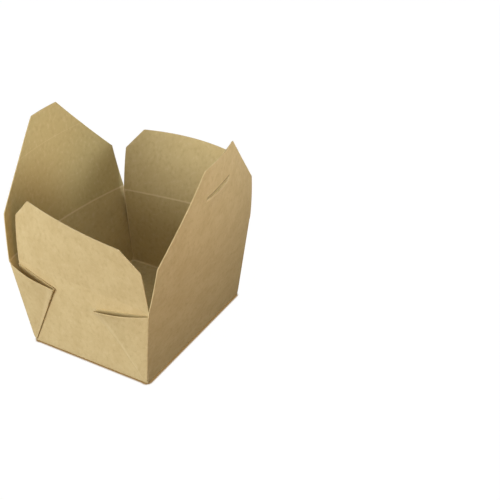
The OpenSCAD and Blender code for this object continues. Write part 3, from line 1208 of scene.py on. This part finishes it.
@dataclass(frozen=True)
class Camera:
    """The photograph's viewpoint. Lengths are in millimetres, angles in degrees."""

    focal_px: float = 943.8
    picture_px: float = 500.0
    sensor: float = 36.0
    azimuth: float = 29.59
    pitch: float = 33.07
    distance: float = 734.1
    target: tuple[float, float, float] = (25.07, 112.11, 0.0)
    clip: tuple[float, float] = (10.0, 20000.0)

    def build(self) -> None:
        """Place the camera: back from the target along its azimuth and pitch, looking at it."""
        data = bpy.data.cameras.new("camera")
        data.sensor_width = self.sensor
        data.lens = self.sensor * self.focal_px / self.picture_px
        data.clip_start, data.clip_end = (MM * limit for limit in self.clip)
        camera = bpy.data.objects.new("camera", data)
        bpy.context.scene.collection.objects.link(camera)
        az, pitch = math.radians(self.azimuth), math.radians(self.pitch)
        back = Vector((math.sin(az) * math.cos(pitch), -math.cos(az) * math.cos(pitch), math.sin(pitch)))
        camera.location = (Vector(self.target) + self.distance * back) * MM
        camera.rotation_euler = (math.pi / 2.0 - pitch, 0.0, az)
        bpy.context.scene.camera = camera


@dataclass(frozen=True)
class Softbox:
    """One soft lamp: where it stands as azimuth, height angle and distance, its size and its power.

    aim is the height over the floor that it faces, and spread the angle that its grid lets through.
    """

    name: str
    azimuth: float
    elevation: float
    distance: float
    size: float
    power: float
    tint: str = "#FFFFFF"
    aim: float = 0.06
    spread: float = 180.0

    def build(self) -> None:
        """Place the lamp so that it faces the aimed height over the middle of the box."""
        data = bpy.data.lights.new(self.name, "AREA")
        data.color = linear(self.tint)[:3]
        data.shape = "SQUARE"
        data.size = self.size
        data.energy = self.power
        data.spread = math.radians(self.spread)
        lamp = bpy.data.objects.new(self.name, data)
        bpy.context.scene.collection.objects.link(lamp)
        az, up = math.radians(self.azimuth), math.radians(self.elevation)
        away = Vector((math.sin(az) * math.cos(up), -math.cos(az) * math.cos(up), math.sin(up)))
        lamp.location = away * self.distance + Vector((0.0, 0.0, self.aim))
        lamp.rotation_euler = away.to_track_quat("Z", "Y").to_euler()


@dataclass(frozen=True)
class Studio:
    """White floor, even white surroundings and three soft lamps.

    floor_glow and contact_glow are the shares of the floor's glow in the open and in the last contact_mm
    under the box, where the smaller glow and a warm tint paint a contact shadow over the cast one, and
    clearing holds how open the floor is where that painted dark line begins to clear and is clear. level
    is the strength of the surroundings' light, which is warm at the horizon and cool over tint_height.
    """

    floor_colour: str = "#5E5446"
    floor_size: float = 6.0
    floor_glow: float = 0.72
    contact_mm: float = 3.6
    contact_glow: float = 0.45
    contact_samples: int = 16
    contact_shadow_tint: str = "#B08A50"
    clearing: tuple[float, float] = (0.56, 0.8)
    glow_strength: float = 1.38
    level: float = 0.6
    tint_height: float = 0.8
    horizon_tint: str = "#FFF0D2"
    zenith_tint: str = "#F0F6FF"
    white: str = "#FFFFFF"
    lamps: tuple[Softbox, ...] = (
        Softbox("key_softbox", azimuth=-14.0, elevation=14.0, distance=1.3, size=0.9, power=15.2,
                tint="#F5F9FF"),
        Softbox("side_softbox", azimuth=110.0, elevation=10.0, distance=0.75, size=0.26, power=0.16,
                tint="#ECF3FF", aim=0.21, spread=28.0),
        Softbox("low_bounce", azimuth=66.0, elevation=6.0, distance=0.5, size=0.2, power=0.022,
                tint="#FFB868", aim=0.11, spread=32.0),
    )

    def floor(self) -> None:
        """Lay the floor, which glows to the camera, so that it reads as white.

        In the last few millimetres under the box's edges it glows less and warmer, a painted contact
        shadow laid over the cast one.
        """
        mesh = bpy.data.meshes.new("floor")
        half = self.floor_size / 2.0
        corners = [(-half, -half, 0.0), (half, -half, 0.0), (half, half, 0.0), (-half, half, 0.0)]
        mesh.from_pydata(corners, [], [(0, 1, 2, 3)])
        floor = bpy.data.objects.new("floor", mesh)
        bpy.context.scene.collection.objects.link(floor)
        mesh.materials.append(self.floor_material())

    def floor_material(self) -> bpy.types.Material:
        """Build the floor's finish: to the eye a plain white, and to the box a dull matt floor.

        Returns:
            The material.
        """
        shader = Shader("white_floor")
        # Painted contact shadow: less glow and a warm brown tint where the box's foot occludes the floor
        near = shader.add("ShaderNodeAmbientOcclusion", {"samples": self.contact_samples}, {
            "Distance": self.contact_mm * MM})
        clear = shader.add("ShaderNodeMapRange", {"interpolation_type": "SMOOTHSTEP"}, {
            "Value": near.outputs["AO"], "From Min": self.clearing[0], "From Max": self.clearing[1]})
        level = shader.add("ShaderNodeMapRange", None, {
            "Value": clear.outputs["Result"], "To Min": self.contact_glow, "To Max": self.floor_glow})
        painted_shadow_colour = shader.add("ShaderNodeMix", {"data_type": "RGBA"}, {
            0: clear.outputs["Result"], 6: linear(self.contact_shadow_tint), 7: linear(self.white)})
        share = shader.add("ShaderNodeMath", {"operation": "MULTIPLY"}, {
            0: shader.seen_directly(), 1: level.outputs["Result"]})
        matt = shader.add("ShaderNodeBsdfDiffuse", None, {"Color": linear(self.floor_colour)})
        glow = shader.add("ShaderNodeEmission", None, {
            "Color": painted_shadow_colour.outputs[2], "Strength": self.glow_strength})
        both = shader.add("ShaderNodeMixShader", None, {
            0: share.outputs[0], 1: matt.outputs["BSDF"], 2: glow.outputs["Emission"]})
        return shader.finish(both.outputs["Shader"])

    def surroundings(self) -> None:
        """White to the camera. For the object, even light that turns from warm to cool upwards."""
        shader = Shader("surroundings", world=True)
        place = shader.add("ShaderNodeTexCoord")
        height = shader.add("ShaderNodeSeparateXYZ", None, {0: place.outputs["Generated"]})
        share = shader.add("ShaderNodeMapRange", None, {
            "Value": height.outputs["Z"], "From Min": 0.0, "From Max": self.tint_height})
        tint = shader.add("ShaderNodeMix", {"data_type": "RGBA"}, {
            0: share.outputs["Result"], 6: linear(self.horizon_tint), 7: linear(self.zenith_tint)})
        seen = shader.seen_directly()
        colour = shader.add("ShaderNodeMix", {"data_type": "RGBA"}, {
            0: seen, 6: tint.outputs[2], 7: linear(self.white)})
        strength = shader.add("ShaderNodeMix", {"data_type": "FLOAT"}, {0: seen, 2: self.level, 3: 1.0})
        sky = shader.add("ShaderNodeBackground", None, {
            "Color": colour.outputs[2], "Strength": strength.outputs[0]})
        bpy.context.scene.world = shader.finish(sky.outputs["Background"])

    def build(self) -> None:
        """Build the floor, the surroundings and the lamps."""
        self.floor()
        self.surroundings()
        for lamp in self.lamps:
            lamp.build()
        bpy.context.scene.view_settings.view_transform = "Standard"


@dataclass
class TakeawayBox:
    """The whole box: the folded tray and its four flaps."""

    board: Board = field(default_factory=Board)
    racking: Racking = field(default_factory=Racking)

    def tray(self) -> Tray:
        """The tray, with the rim bows and the ears that the opened box shows.

        Returns:
            The tray, not built yet.
        """
        return Tray(
            self.board, self.racking,
            bows={Side.LEFT: 6.0, Side.RIGHT: 3.3, Side.NEAR: 0.8, Side.FAR: 1.5},
            ears={
                (-1, -1): Ear(tip=(22.6, 52.4), pocket=3.0, slack=(2.2, 1.8), mouth=1.2, gape=2.0),
                (1, -1): Ear(tip=(11.7, 48.6), pocket=2.5, slack=(0.0, 0.3), mouth=3.2, gape=1.9),
                (-1, 1): Ear(tip=(13.1, 50.0), pocket=2.6, slack=(1.0, 0.4), mouth=0.6, gape=2.4),
                (1, 1): Ear(tip=(13.1, 50.0), pocket=1.9, slack=(0.0, 0.0), mouth=0.5, gape=2.2),
            },
        )

    def flaps(self, tray: Tray) -> list[Flap]:
        """The four flaps with their outlines and the way that each one stands.

        Args:
            tray: The tray that they hang on.

        Returns:
            The flaps, not built yet.
        """
        end = ((tray.end_half, 0.0), (52.5, 32.0), (40.0, 46.0))
        left = ((tray.side_half, 0.0), (58.7, 33.0), (13.5, 81.0))
        right = (*left[:2], (19.0, 81.0))
        near_bend = Bend(lean=(4.2, 5.2, -0.9), curl=(-0.8, 3.3, -1.0), bow=3.0)
        far_bend = Bend(lean=(4.7, -5.3, -2.3), curl=(1.6, -2.5, 0.8), bow=7.8)
        left_bend = Bend(lean=(7.3, 4.3, -1.0), curl=(-1.8, -0.2, -0.6), bow=6.7)
        right_bend = Bend(lean=(15.3, -2.8, -4.8), curl=(-1.9, -0.7, -1.6), bow=-0.4)
        lock = 59.0
        score = Score(height=lock, bend=2.0)
        slit = Slit(height=lock, length=30.0, width=0.9, lip=1.3)
        return [
            Flap(Side.NEAR, tray, near_bend, end, "near_end_flap_board"),
            Flap(Side.FAR, tray, far_bend, end, "far_end_flap_board"),
            # The left flap's inner side takes more painted shade, so it renders darker
            Flap(Side.LEFT, tray, left_bend, left, "left_side_flap_board", score=score, painted_shade=1.9),
            Flap(Side.RIGHT, tray, right_bend, right, "right_side_flap_board", slit=slit),
        ]

    def build(self) -> list[bpy.types.Object]:
        """Build every piece and give it the board's two finishes.

        Returns:
            The pieces in building order.
        """
        tray = self.tray()
        pieces = [tray.build()] + [flap.build() for flap in self.flaps(tray)]
        face, edge = KraftBoard().material(), CutEdge().material()
        for piece in pieces:
            piece.data.materials.clear()
            piece.data.materials.append(face)
            piece.data.materials.append(edge)
            LOG.info("%s: %d faces", piece.name, len(piece.data.polygons))
        return pieces


def main() -> None:
    """Build the camera, the studio and the box."""
    logging.basicConfig(level=logging.INFO, format="%(message)s")
    Camera().build()
    Studio().build()
    TakeawayBox().build()
    bpy.context.view_layer.update()


if __name__ == "__main__":
    main()
